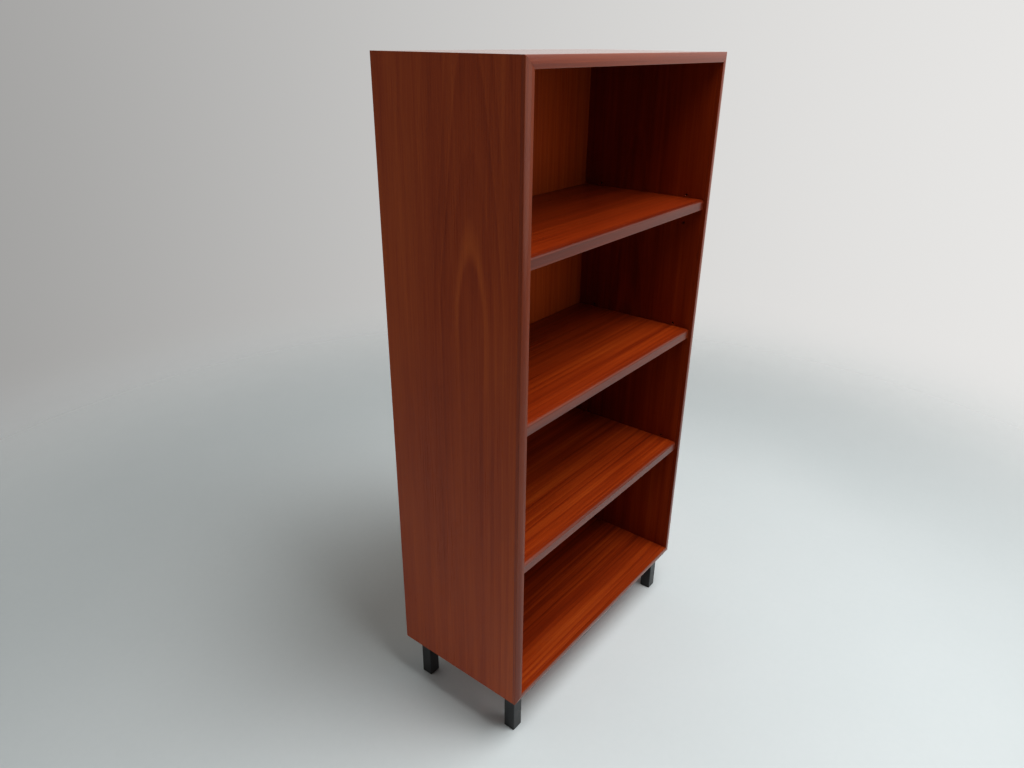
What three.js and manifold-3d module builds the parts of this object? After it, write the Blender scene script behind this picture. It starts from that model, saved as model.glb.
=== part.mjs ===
// Bookcase with three adjustable shelves: a mitred, teak-veneered case on four square steel legs.
// Millimetres, +Z up, front towards -Y, origin on the floor under the middle of the case.
import * as THREE from "three";
import { mergeVertices } from "three/addons/utils/BufferGeometryUtils.js";
import Module from "manifold-3d";

const wasm = await Module();
wasm.setup();

// ---- Driving dimensions ----
const WIDTH = 700; // outside of the case
const DEPTH = 335; // front of the lippings to the back of the back panel
const CASE_HEIGHT = 1292; // outside, without the legs
const LEG_HEIGHT = 114; // floor to the underside of the case
const BOARD = 20; // thickness of the sides, top and bottom

const GLUE_LINE = 0.1; // gap left where glued or screwed pieces meet
const HOLE_PLAY = 0.2; // radial play of a screw or pin in its hole
const ARC_STEPS = 4; // straight steps in each rounded edge

// Solid lipping on the front edges of the case: a narrow flat inside, rounded back to the outer face.
const LIPPING = 10; // depth, front to back
const LIPPING_FLAT = 7; // width of the flat, from the inner face
const LIPPING_SETBACK = 4.5; // how far the outer arris lies behind the flat
const LIPPING_ARRIS = 1.2; // small flat on the outer arris
const LIPPING_FULLNESS = 0.9; // how far back the middle of the round lies, 0 for a square front
const EASED_EDGE = 0.8; // chamfer that takes the sharpness off an edge

// Back panel, screwed into a rebate round the back of the case.
const BACK = 6; // thickness, and depth of the rebate
const REBATE = 10; // width of the rebate
const BACK_PLAY = 0.5; // gap between the panel's edge and the rebate
const BACK_SCREW_INSET = 15; // from the outside of the case

// Loose tongues that hold the mitred corners together.
const TONGUE_WIDTH = 14;
const TONGUE_THICKNESS = 3;
const TONGUE_INSET = 11; // from both outer faces to the tongue's middle
const TONGUE_STOP = 35; // from the back of the case to the end of the groove

// Shelves. Each rests on four turned pins, in one of three holes in each of four rows.
const SHELF = 22; // thickness
const SHELF_PLAY = 1; // gap at each end
const SHELF_SETBACK = 7.5; // from the front of the case
const SHELF_BACK_GAP = 2; // to the back panel
const SHELF_LIPPING = 12; // depth of the solid front edge
const SHELF_ROUND_DEPTH = 9; // rounding along the top of the front edge
const SHELF_ROUND_HEIGHT = 5;
const SHELF_UNDERSIDES = { lower: 336, middle: 650.5, upper: 963.5 }; // above the underside of the case
const HOLE_PITCH = 32;
const HOLES_EACH_WAY = 1; // spare holes above and below the one in use
const HOLE_DEPTH = 12;
const PIN_ROW_INSET = 45; // from a shelf's front and back edges
const PIN_SHANK = { radius: 2.5, length: 10 };
const PIN_HEAD = { radius: 4, length: 12 };
const PIN_CHAMFER = 0.6;
const PIN_GAP = 0.3; // between a pin and the shelf or side that it meets

// Legs: square tube under a welded plate, with a plastic glide in the open end.
const LEG_INSET = 24; // from the outside of the case to the leg
const LEG_SIZE = 28;
const LEG_WALL = 2;
const LEG_CORNER = 1.5; // outside corner radius
const CORNER_STEPS = 2; // straight steps in each of those corners
const PLATE_SIZE = 65;
const PLATE = 3;
const PLATE_HOLE_INSET = 12; // from the plate's inner edges
const GLIDE = 4; // thickness of the glide's foot
const GLIDE_STEM = 16;
const GLIDE_PLAY = 0.3;

const LEG_SCREW = { length: 16, shank: 2, head: 3.8, sink: 2.2 };
const BACK_SCREW = { length: 16, shank: 1.5, head: 3, sink: 1.8 };
const SCREW_TAPER = 4; // length of a screw's point
const SCREW_SLOT = 0.8; // width and depth of the slot in a screw's head
const SLOT_REACH = 3; // length of the slot's cutter, in head radii
const ROUND_SIDES = 10; // flat sides round a pin or its hole
const SCREW_SIDES = 8;
const OVERRUN = 1; // how far a cutter reaches past the face it cuts through

const TEAK = { color: 0x7a3214, roughness: 0.45, metalness: 0 };
const TEAK_SOLID = { color: 0x8a4a2c, roughness: 0.4, metalness: 0 };
const PLYWOOD = { color: 0xb08a5a, roughness: 0.7, metalness: 0 };
const BLACK_STEEL = { color: 0x121314, roughness: 0.35, metalness: 0.3 };
const BLACK_PLASTIC = { color: 0x0c0c0d, roughness: 0.6, metalness: 0 };
const BRASS = { color: 0xb08d4a, roughness: 0.35, metalness: 1 };
const ZINC = { color: 0xa8a9a6, roughness: 0.4, metalness: 1 };

// ---- Solids ----

// A closed geometry as a solid that can be cut and joined.
function solidOf(geometry) {
  const bare = geometry.clone();
  bare.deleteAttribute("normal");
  bare.deleteAttribute("uv");
  const merged = mergeVertices(bare, 1e-4);
  return new wasm.Manifold(
    new wasm.Mesh({
      numProp: 3,
      vertProperties: merged.getAttribute("position").array,
      triVerts: new Uint32Array(merged.index.array),
    }),
  );
}

function geometryOf(solid) {
  const mesh = solid.getMesh();
  const geometry = new THREE.BufferGeometry();
  geometry.setAttribute("position", new THREE.BufferAttribute(mesh.vertProperties, 3));
  geometry.setIndex(new THREE.BufferAttribute(mesh.triVerts, 1));
  return geometry;
}

function cut(geometry, cutters) {
  const left = cutters.reduce((solid, cutter) => solid.subtract(solidOf(cutter)), solidOf(geometry));
  return geometryOf(left);
}

function join(first, second) {
  return geometryOf(solidOf(first).add(solidOf(second)));
}

function addMesh(group, name, geometry, material, place = [0, 0, 0]) {
  const shown = geometry.index ? geometry.toNonIndexed() : geometry;
  shown.computeVertexNormals();
  const mesh = new THREE.Mesh(shown, new THREE.MeshStandardMaterial(material));
  mesh.name = name;
  mesh.position.set(...place);
  group.add(mesh);
  return mesh;
}

function box(size, centre) {
  return new THREE.BoxGeometry(...size).translate(...centre);
}

// A solid turned about the upright axis. The outline's points are [radius, height], from the bottom up.
function turned(outline, sides) {
  const points = outline.map(([radius, height]) => new THREE.Vector2(radius, height));
  return new THREE.LatheGeometry(points, sides).rotateX(Math.PI / 2);
}

// A countersunk screw standing on its point, with its head's face at height 0.
// With play it is the hole for that screw, open at the head.
function screwShape({ length, shank, head, sink }, play = 0) {
  const wide = head + play;
  const outline = [
    [0, -length - play],
    [play ? shank + play : shank / 3, -length - play],
    [shank + play, SCREW_TAPER - length - play],
    [shank + play, -sink],
    [wide, 0],
  ];
  if (play) outline.push([wide, OVERRUN]);
  outline.push([0, play ? OVERRUN : 0]);
  return turned(outline, SCREW_SIDES);
}

function screw(size) {
  const slot = box([SLOT_REACH * size.head, SCREW_SLOT, 2 * SCREW_SLOT], [0, 0, 0]);
  return cut(screwShape(size), [slot]);
}

// ---- Case: four mitred boards and four mitred lippings ----

// A bar of the case's frame as the top has it: length along X, mitred ends, outer face up at height 0.
// The profile's x is the distance back from the front and its y the distance in from the outer face.
function mitredBar(profile, length) {
  const bar = new THREE.ExtrudeGeometry(profile, {
    depth: 1,
    bevelEnabled: false,
    curveSegments: ARC_STEPS,
  });
  const position = bar.getAttribute("position");
  for (let i = 0; i < position.count; i += 1) {
    const back = position.getX(i);
    const inset = position.getY(i);
    const end = position.getZ(i) > 0.5 ? -1 : 1;
    position.setXYZ(i, end * (length / 2 - inset - GLUE_LINE), back, -inset);
  }
  return bar;
}

// Turns a bar about Y by quarter turns, with its outer face at a distance from the middle of the case.
function turnToSide(bar, quarterTurns, distance) {
  const sine = [0, 1, 0, -1][quarterTurns];
  const cosine = [1, 0, -1, 0][quarterTurns];
  const turn = new THREE.Matrix4().set(cosine, 0, sine, 0, 0, 1, 0, 0, -sine, 0, cosine, 0, 0, 0, 0, 1);
  return bar.translate(0, 0, distance).applyMatrix4(turn).translate(0, 0, CASE_HEIGHT / 2);
}

function boardProfile() {
  return new THREE.Shape([
    new THREE.Vector2(LIPPING, 0),
    new THREE.Vector2(DEPTH, 0),
    new THREE.Vector2(DEPTH, REBATE),
    new THREE.Vector2(DEPTH - BACK - GLUE_LINE, REBATE),
    new THREE.Vector2(DEPTH - BACK - GLUE_LINE, BOARD),
    new THREE.Vector2(LIPPING, BOARD),
  ]);
}

function lippingProfile() {
  const rounded = BOARD - LIPPING_FLAT;
  const profile = new THREE.Shape();
  profile.moveTo(LIPPING - GLUE_LINE, BOARD);
  profile.lineTo(EASED_EDGE, BOARD);
  profile.lineTo(0, BOARD - EASED_EDGE);
  profile.lineTo(0, rounded);
  profile.quadraticCurveTo(
    LIPPING_FULLNESS,
    rounded / 2,
    LIPPING_SETBACK - LIPPING_ARRIS,
    LIPPING_ARRIS,
  );
  profile.lineTo(LIPPING_SETBACK, 0);
  profile.lineTo(LIPPING - GLUE_LINE, 0);
  return profile;
}

// A tongue, or with play the groove for it, lying across a mitre at one end of a bar.
function tongue(length, end, play = 0) {
  const depth = DEPTH - TONGUE_STOP - LIPPING - GLUE_LINE + 2 * play;
  return new THREE.BoxGeometry(TONGUE_WIDTH + 2 * play, depth, TONGUE_THICKNESS + 2 * play)
    .rotateY((end * Math.PI) / 4)
    .translate(end * (length / 2 - TONGUE_INSET), (LIPPING + DEPTH - TONGUE_STOP) / 2, -TONGUE_INSET);
}

// Middle of each shelf pin's hole along the depth of the case.
const shelfBack = DEPTH - BACK - SHELF_BACK_GAP;
const PIN_ROWS = { front: SHELF_SETBACK + PIN_ROW_INSET, back: shelfBack - PIN_ROW_INSET };

function pinHeight(underside) {
  return underside - PIN_GAP - PIN_HEAD.radius;
}

// The holes in one side for every place that a shelf pin can go.
function pinHoles(side) {
  const holes = [];
  const radius = PIN_SHANK.radius + HOLE_PLAY;
  const middle = WIDTH / 2 - BOARD + (HOLE_DEPTH - OVERRUN) / 2;
  for (const underside of Object.values(SHELF_UNDERSIDES)) {
    for (const back of Object.values(PIN_ROWS)) {
      for (let step = -HOLES_EACH_WAY; step <= HOLES_EACH_WAY; step += 1) {
        const height = pinHeight(underside) + step * HOLE_PITCH;
        const hole = new THREE.CylinderGeometry(radius, radius, HOLE_DEPTH + OVERRUN, ROUND_SIDES)
          .rotateZ(Math.PI / 2)
          .translate(side * middle, back, height);
        holes.push(hole);
      }
    }
  }
  return holes;
}

// Where the back panel's screws stand, seen from behind: [x, height above the underside of the case].
function backScrewPlaces() {
  const across = WIDTH / 2 - BACK_SCREW_INSET;
  const places = [
    [0, BACK_SCREW_INSET],
    [0, CASE_HEIGHT - BACK_SCREW_INSET],
  ];
  for (const share of [1 / 8, 1 / 2, 7 / 8]) {
    places.push([-across, CASE_HEIGHT * share], [across, CASE_HEIGHT * share]);
  }
  return places;
}

function backScrewHoles() {
  return backScrewPlaces().map(([x, height]) =>
    screwShape(BACK_SCREW, HOLE_PLAY).rotateX(-Math.PI / 2).translate(x, DEPTH, height),
  );
}

// Where a leg stands, from the outside of the case to its middle, and its plate's screws from there.
const LEG_MIDDLE = LEG_INSET + LEG_SIZE / 2;
const plateInner = PLATE_SIZE - LEG_SIZE / 2;
const screwReach = plateInner - PLATE_HOLE_INSET;
const LEG_SCREW_PLACES = [
  [screwReach, 0],
  [0, screwReach],
  [screwReach, screwReach],
];

// The four corners of the case: which way is inwards from each of them.
const CORNERS = {
  front_left: { inX: 1, inY: 1 },
  front_right: { inX: -1, inY: 1 },
  back_left: { inX: 1, inY: -1 },
  back_right: { inX: -1, inY: -1 },
};

function legScrewHoles() {
  const holes = [];
  for (const { inX, inY } of Object.values(CORNERS)) {
    for (const [x, y] of LEG_SCREW_PLACES) {
      const acrossX = -inX * (WIDTH / 2 - LEG_MIDDLE - x);
      const backY = DEPTH / 2 - inY * (DEPTH / 2 - LEG_MIDDLE - y);
      holes.push(screwShape(LEG_SCREW, HOLE_PLAY).rotateX(Math.PI).translate(acrossX, backY, -PLATE));
    }
  }
  return holes;
}

function buildCase() {
  const group = new THREE.Group();
  const bars = {
    top: { turns: 0, length: WIDTH, distance: CASE_HEIGHT / 2, holes: [] },
    right: { turns: 1, length: CASE_HEIGHT, distance: WIDTH / 2, holes: pinHoles(1) },
    bottom: { turns: 2, length: WIDTH, distance: CASE_HEIGHT / 2, holes: legScrewHoles() },
    left: { turns: 3, length: CASE_HEIGHT, distance: WIDTH / 2, holes: pinHoles(-1) },
  };
  for (const [side, { turns, length, distance, holes }] of Object.entries(bars)) {
    const grooved = cut(mitredBar(boardProfile(), length), [
      tongue(length, -1, HOLE_PLAY),
      tongue(length, 1, HOLE_PLAY),
    ]);
    const board = cut(turnToSide(grooved, turns, distance), [...holes, ...backScrewHoles()]);
    addMesh(group, `case_${side}`, board, TEAK);
    const lipping = turnToSide(mitredBar(lippingProfile(), length), turns, distance);
    addMesh(group, `lipping_${side}`, lipping, TEAK_SOLID);
  }
  const corners = ["top_right", "bottom_right", "bottom_left", "top_left"];
  corners.forEach((corner, turns) => {
    const length = turns % 2 ? CASE_HEIGHT : WIDTH;
    const distance = turns % 2 ? WIDTH / 2 : CASE_HEIGHT / 2;
    addMesh(group, `corner_tongue_${corner}`, turnToSide(tongue(length, 1), turns, distance), PLYWOOD);
  });
  return group;
}

function buildBack() {
  const group = new THREE.Group();
  const width = WIDTH - 2 * (REBATE + BACK_PLAY);
  const height = CASE_HEIGHT - 2 * (REBATE + BACK_PLAY);
  const panel = box([width, BACK, height], [0, DEPTH - BACK / 2, CASE_HEIGHT / 2]);
  addMesh(group, "back_panel", cut(panel, backScrewHoles()), TEAK);
  backScrewPlaces().forEach(([x, height], index) => {
    const fixing = addMesh(group, `back_screw_${index + 1}`, screw(BACK_SCREW), ZINC, [x, DEPTH, height]);
    fixing.rotation.x = -Math.PI / 2;
  });
  return group;
}

// ---- Shelves ----

function shelfLipping(length) {
  const profile = new THREE.Shape();
  profile.moveTo(SHELF_LIPPING - GLUE_LINE, 0);
  profile.lineTo(SHELF_LIPPING - GLUE_LINE, SHELF);
  profile.lineTo(SHELF_ROUND_DEPTH, SHELF);
  profile.absellipse(
    SHELF_ROUND_DEPTH,
    SHELF - SHELF_ROUND_HEIGHT,
    SHELF_ROUND_DEPTH,
    SHELF_ROUND_HEIGHT,
    Math.PI / 2,
    Math.PI,
    false,
  );
  profile.lineTo(0, EASED_EDGE);
  profile.lineTo(EASED_EDGE, 0);
  const bar = new THREE.ExtrudeGeometry(profile, {
    depth: length,
    bevelEnabled: false,
    curveSegments: ARC_STEPS,
  });
  const alongX = new THREE.Matrix4().set(0, 0, 1, -length / 2, 1, 0, 0, 0, 0, 1, 0, 0, 0, 0, 0, 1);
  return bar.applyMatrix4(alongX);
}

// A turned pin lying along +X, with its shank in the side and its head's shoulder at x = 0.
function shelfPin() {
  const outline = [
    [0, -PIN_HEAD.length],
    [PIN_HEAD.radius - PIN_CHAMFER, -PIN_HEAD.length],
    [PIN_HEAD.radius, PIN_CHAMFER - PIN_HEAD.length],
    [PIN_HEAD.radius, 0],
    [PIN_SHANK.radius, 0],
    [PIN_SHANK.radius, PIN_SHANK.length - PIN_CHAMFER],
    [PIN_SHANK.radius - PIN_CHAMFER, PIN_SHANK.length],
    [0, PIN_SHANK.length],
  ];
  return turned(outline, ROUND_SIDES).rotateY(Math.PI / 2);
}

function buildShelf(name, underside) {
  const group = new THREE.Group();
  const length = WIDTH - 2 * (BOARD + SHELF_PLAY);
  const depth = shelfBack - SHELF_SETBACK;
  group.position.set(0, SHELF_SETBACK, underside);
  const boardDepth = depth - SHELF_LIPPING;
  const board = box([length, boardDepth, SHELF], [0, SHELF_LIPPING + boardDepth / 2, SHELF / 2]);
  addMesh(group, `shelf_${name}_board`, board, TEAK);
  addMesh(group, `shelf_${name}_lipping`, shelfLipping(length), TEAK_SOLID);
  const shoulder = WIDTH / 2 - BOARD - PIN_GAP;
  for (const [row, back] of Object.entries(PIN_ROWS)) {
    for (const [hand, side] of [["left", -1], ["right", 1]]) {
      const place = [side * shoulder, back - SHELF_SETBACK, pinHeight(0)];
      const pin = addMesh(group, `shelf_${name}_pin_${row}_${hand}`, shelfPin(), BRASS, place);
      pin.scale.x = side;
    }
  }
  return group;
}

// ---- Legs ----

function roundedSquare(size, radius) {
  const half = size / 2;
  const straight = half - radius;
  const shape = new THREE.Shape();
  shape.absarc(straight, straight, radius, 0, Math.PI / 2);
  shape.absarc(-straight, straight, radius, Math.PI / 2, Math.PI);
  shape.absarc(-straight, -straight, radius, Math.PI, 1.5 * Math.PI);
  shape.absarc(straight, -straight, radius, 1.5 * Math.PI, 2 * Math.PI);
  return shape;
}

function squareBar(size, radius, from, to) {
  const options = { depth: to - from, bevelEnabled: false, curveSegments: CORNER_STEPS };
  return new THREE.ExtrudeGeometry(roundedSquare(size, radius), options).translate(0, 0, from);
}

// The welded leg, standing on the floor at its own middle. Its plate reaches inwards along +X and +Y.
function legGeometry() {
  const plateTop = LEG_HEIGHT - GLUE_LINE;
  const plateUnder = LEG_HEIGHT - PLATE;
  const tubeEnd = GLIDE + GLUE_LINE;
  const hollow = LEG_SIZE - 2 * LEG_WALL;
  const tube = squareBar(LEG_SIZE, LEG_CORNER, tubeEnd, (plateUnder + plateTop) / 2);
  const plateMiddle = (plateInner - LEG_SIZE / 2) / 2;
  const plateThickness = plateTop - plateUnder;
  const plate = box(
    [PLATE_SIZE, PLATE_SIZE, plateThickness],
    [plateMiddle, plateMiddle, plateTop - plateThickness / 2],
  );
  const bore = box([hollow, hollow, plateUnder], [0, 0, plateUnder / 2]);
  const holes = LEG_SCREW_PLACES.map(([x, y]) =>
    screwShape(LEG_SCREW, HOLE_PLAY).rotateX(Math.PI).translate(x, y, plateUnder),
  );
  return cut(join(tube, plate), [bore, ...holes]);
}

function glideGeometry() {
  const stemSize = LEG_SIZE - 2 * (LEG_WALL + GLIDE_PLAY);
  const foot = squareBar(LEG_SIZE, LEG_CORNER, 0, GLIDE);
  const stemTop = GLIDE + GLIDE_STEM;
  const stem = box([stemSize, stemSize, stemTop - OVERRUN], [0, 0, (stemTop + OVERRUN) / 2]);
  return join(foot, stem);
}

function buildLeg(corner, { inX, inY }) {
  const group = new THREE.Group();
  group.position.set(-inX * (WIDTH / 2 - LEG_MIDDLE), -inY * (DEPTH / 2 - LEG_MIDDLE), 0);
  group.scale.set(inX, inY, 1);
  addMesh(group, `leg_${corner}`, legGeometry(), BLACK_STEEL);
  addMesh(group, `leg_${corner}_glide`, glideGeometry(), BLACK_PLASTIC);
  LEG_SCREW_PLACES.forEach(([x, y], index) => {
    const place = [x, y, LEG_HEIGHT - PLATE];
    const fixing = addMesh(group, `leg_${corner}_screw_${index + 1}`, screw(LEG_SCREW), ZINC, place);
    fixing.rotation.x = Math.PI;
  });
  return group;
}

// ---- Assembly ----

const bookcase = new THREE.Group();
const onLegs = new THREE.Group();
onLegs.position.set(0, -DEPTH / 2, LEG_HEIGHT);
onLegs.add(buildCase(), buildBack());
for (const [name, underside] of Object.entries(SHELF_UNDERSIDES)) {
  onLegs.add(buildShelf(name, underside));
}
bookcase.add(onLegs);
for (const [corner, inwards] of Object.entries(CORNERS)) {
  bookcase.add(buildLeg(corner, inwards));
}

export default bookcase;
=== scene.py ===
"""Bookcase with three adjustable shelves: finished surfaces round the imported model.

Metres, +Z up, front towards -Y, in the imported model's frame. Each piece is built at its place in the
model, so its object stays at the origin and its materials read the model's own coordinates.
"""
import math

import bmesh
import bpy
from mathutils import Matrix, Vector


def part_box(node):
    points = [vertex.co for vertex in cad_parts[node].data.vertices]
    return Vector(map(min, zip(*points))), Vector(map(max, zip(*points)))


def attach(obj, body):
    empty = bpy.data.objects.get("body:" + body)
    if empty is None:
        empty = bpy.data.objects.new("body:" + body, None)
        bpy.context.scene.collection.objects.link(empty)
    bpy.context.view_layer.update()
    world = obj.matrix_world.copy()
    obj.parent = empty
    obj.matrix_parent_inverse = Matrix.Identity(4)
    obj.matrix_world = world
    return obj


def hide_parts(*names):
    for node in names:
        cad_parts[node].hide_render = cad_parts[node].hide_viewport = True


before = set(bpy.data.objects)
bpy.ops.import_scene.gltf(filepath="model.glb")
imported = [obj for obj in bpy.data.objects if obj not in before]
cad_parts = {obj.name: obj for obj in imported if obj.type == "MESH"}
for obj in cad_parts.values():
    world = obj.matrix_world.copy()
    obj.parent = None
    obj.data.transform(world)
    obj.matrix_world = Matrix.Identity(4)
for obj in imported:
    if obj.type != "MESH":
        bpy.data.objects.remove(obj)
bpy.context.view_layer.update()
MM = 0.001


# ---- Sizes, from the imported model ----

def span(node, axis):
    low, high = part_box(node)
    return high[axis] - low[axis]


def middle_of(node):
    low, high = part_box(node)
    return (low + high) / 2


X, Y, Z = range(3)
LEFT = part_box("case_left")[0].x
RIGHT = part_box("case_right")[1].x
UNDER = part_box("case_bottom")[0].z
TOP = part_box("case_top")[1].z
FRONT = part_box("lipping_left")[0].y
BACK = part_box("case_left")[1].y
BOARD = span("case_bottom", Z)
WIDTH = RIGHT - LEFT
HEIGHT = TOP - UNDER
MIDDLE_Z = (UNDER + TOP) / 2
GLUE_LINE = 0.1 * MM
PLAY = 0.2 * MM

PANEL_LOW, PANEL_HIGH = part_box("back_panel")
PANEL = PANEL_HIGH.y - PANEL_LOW.y
REBATE = 10 * MM
PIN_LENGTH = span("shelf_upper_pin_front_left", X)
PIN_RADIUS = span("shelf_upper_pin_front_left", Z) / 2

# ---- Sizes of the finer shapes ----

ARRIS = 0.5 * MM  # rounding of a sanded edge
FINE_ARRIS = 0.15 * MM  # rounding where two pieces meet
MERGED = 0.002 * MM  # corners closer than this are one
LIPPING = 10 * MM
LIPPING_FLAT = 7 * MM
LIPPING_SETBACK = 4.5 * MM
VENEER = 0.6 * MM
ROUND_STEPS = 14
TURNED_SIDES = 40
HOLE_SIDES = 24
SCREW_SIDES = 32

SHELVES = ("lower", "middle", "upper")
PIN_ROWS = ("front", "back")
SHELF_ROUND = (9 * MM, 5 * MM)  # depth and height of the rounding along the top of its front edge

HOLE_PITCH = 32 * MM
HOLES_EACH_WAY = 1
HOLE_DEPTH = 12 * MM
HOLE_RADIUS = 2.7 * MM
HOLE_CHAMFER = 0.35 * MM
SHANK_LENGTH = 10 * MM
SHANK_RADIUS = 2.5 * MM

TONGUE = (14 * MM, 3 * MM)  # width across the mitre, and thickness
TONGUE_INSET = 11 * MM
TONGUE_STOP = 35 * MM  # from its back end to the back of the case

LEG_SIZE = span("leg_front_left_glide", X)
LEG_WALL = 2 * MM
LEG_CORNER = 2 * MM
LEG_ARRIS = 0.3 * MM
PLATE_SIZE = 65 * MM
PLATE = 3 * MM
PLATE_CORNER = 3 * MM
GLIDE = 4 * MM
GLIDE_BEVEL = (1 * MM, 0.8 * MM)  # inwards and upwards round its sole
STEM_LENGTH = 16 * MM
STEM_WALL = 2 * MM
STEM_PLAY = 0.3 * MM
WELD = 3.2 * MM
WELD_STEP = 0.35 * MM
WELD_RIPPLE = 1.9 * MM
LEG_SCREW = {"length": 16 * MM, "shank": 2 * MM, "head": 3.8 * MM, "sink": 2.2 * MM}
BACK_SCREW = {"length": 16 * MM, "shank": 1.5 * MM, "head": 3 * MM, "sink": 1.8 * MM}
BACK_SCREWS = 8
LEG_SCREWS = 3
SCREW_SLOT = 0.8 * MM  # as wide as it is deep
THREAD = 1.1 * MM
POINT = 4 * MM  # length of a screw's taper, and of its smooth neck
CORNERS = {"front_left": (1, 1), "front_right": (-1, 1), "back_left": (1, -1), "back_right": (-1, -1)}


# ---- Materials ----

class Surface:
    """A procedural material: short calls that add nodes and join them to the Principled shader."""

    def __init__(self, name, **sockets):
        self.material = bpy.data.materials.new(name)
        self.material.use_nodes = True
        self.tree = self.material.node_tree
        self.tree.nodes.clear()
        output = self.tree.nodes.new("ShaderNodeOutputMaterial")
        self.shader = self.tree.nodes.new("ShaderNodeBsdfPrincipled")
        self.tree.links.new(self.shader.outputs[0], output.inputs["Surface"])
        for socket, value in sockets.items():
            self.shader.inputs[socket.replace("_", " ")].default_value = value

    def node(self, kind, *inputs, out=0, **settings):
        """A node with its settings, its inputs given in order; None leaves one alone."""
        made = self.tree.nodes.new(kind)
        for key, value in settings.items():
            setattr(made, key, value)
        for socket, value in zip(made.inputs, inputs):
            self.feed(socket, value)
        return made.outputs[out]

    def feed(self, socket, value):
        if isinstance(value, bpy.types.NodeSocket):
            self.tree.links.new(value, socket)
        elif value is not None:
            socket.default_value = value

    def math(self, operation, *inputs):
        return self.node("ShaderNodeMath", *inputs, operation=operation)

    def total(self, first, *rest):
        for term in rest:
            first = self.math("ADD", first, term)
        return first

    def scaled(self, value, factor, centre=0.0):
        """(value - centre) * factor."""
        return self.math("MULTIPLY_ADD", value, factor, -centre * factor)

    def place(self):
        """The surface's own coordinates, in the model's frame."""
        return self.node("ShaderNodeTexCoord", out=3)

    def split(self, vector):
        made = self.tree.nodes.new("ShaderNodeSeparateXYZ")
        self.feed(made.inputs[0], vector)
        return list(made.outputs)

    def joined(self, *parts):
        return self.node("ShaderNodeCombineXYZ", *parts)

    def stretched(self, vector, scale, offset=(0, 0, 0)):
        return self.node("ShaderNodeMapping", vector, offset, None, scale)

    def noise(self, vector, scale=1.0, detail=2.0, roughness=0.5):
        made = self.tree.nodes.new("ShaderNodeTexNoise")
        self.feed(made.inputs["Vector"], vector)
        made.inputs["Scale"].default_value = scale
        made.inputs["Detail"].default_value = detail
        made.inputs["Roughness"].default_value = roughness
        return made.outputs[0]

    def cells(self, vector):
        """Distance to the nearest of many scattered points."""
        made = self.tree.nodes.new("ShaderNodeTexVoronoi")
        self.feed(made.inputs["Vector"], vector)
        made.inputs["Scale"].default_value = 1.0
        return made.outputs[0]

    def ramp(self, value, *stops):
        """Colours, or single grey values, blended in a straight line between the given places."""
        made = self.tree.nodes.new("ShaderNodeValToRGB")
        self.feed(made.inputs[0], value)
        elements = made.color_ramp.elements
        while len(elements) < len(stops):
            elements.new(1.0)
        for element, (at, colour) in zip(elements, stops):
            element.position = at
            element.color = (*colour, 1) if isinstance(colour, tuple) else (colour,) * 3 + (1,)
        return made.outputs[0]

    def ranged(self, value, low, high, to_low=0.0, to_high=1.0):
        return self.node("ShaderNodeMapRange", value, low, high, to_low, to_high)

    def mixed(self, factor, first, second, blend="MIX"):
        made = self.tree.nodes.new("ShaderNodeMix")
        made.data_type = "RGBA"
        made.blend_type = blend
        self.feed(made.inputs["Factor"], factor)
        for socket, value in ((made.inputs[6], first), (made.inputs[7], second)):
            self.feed(socket, (*value, 1) if isinstance(value, tuple) else value)
        return made.outputs[2]

    def finish(self, colour, roughness, height=None, depth=0.1 * MM):
        self.feed(self.shader.inputs["Base Color"], colour)
        self.feed(self.shader.inputs["Roughness"], roughness)
        if height is not None:
            bump = self.tree.nodes.new("ShaderNodeBump")
            bump.inputs["Strength"].default_value = 1.0
            bump.inputs["Distance"].default_value = depth
            self.feed(bump.inputs["Height"], height)
            self.feed(self.shader.inputs["Normal"], bump.outputs[0])
        return self.material


# From the darkest streaks to the lightest bands.
TEAK_TONES = (
    (0.135, 0.0155, 0.0022),
    (0.225, 0.0290, 0.0036),
    (0.300, 0.0455, 0.0056),
    (0.430, 0.0900, 0.0125),
)
ZINC = ((0.62, 0.61, 0.57), (0.40, 0.39, 0.36))  # bright and tarnished
ARCH_OPENING = 0.11  # length over which an arch's legs turn straight
ARCH_FADE = (0.34, 0.08)  # how far below its top its legs have faded out, and begin to
ARCH_LINE = (0.4 * MM, 3 * MM)  # its light band's middle, and where that has faded out
ARCH_INSIDE = (-12 * MM, -1.5 * MM)  # the darker wood beside the band, inside the arch
ARCH_LIGHT = 0.40
ARCH_DARK = -0.18
FRONT_SHADED = 90 * MM  # how far in from the front a board's painted shade reaches
# Painted shade: this grey tint darkens and greys faces that look forwards or back.
PAINTED_SHADE_TINT = (0.60, 0.62, 0.66)
PAINTED_SHADE_FACING = (0.02, 0.5)  # how squarely a face looks forwards or back, where the painted shade starts and is full
# The lippings take the full painted shade on faces that look forwards or back.
SIDE_LIPPING = {"line": 0.4, "tone": -0.04, "painted_facing_shade": 1.0, "gloss": 0.32, "coat": 0.2}
TOP_LIPPING = {"line": 0.4, "tone": -0.08, "painted_facing_shade": 1.0, "gloss": 0.36, "coat": 0.6}
SHELF_LIPPING = {"line": 0.4, "painted_facing_shade": 1.0, "gloss": 0.5}
SHELF_LIPPING_TONE = -0.18  # beside the shelf's own


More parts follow.
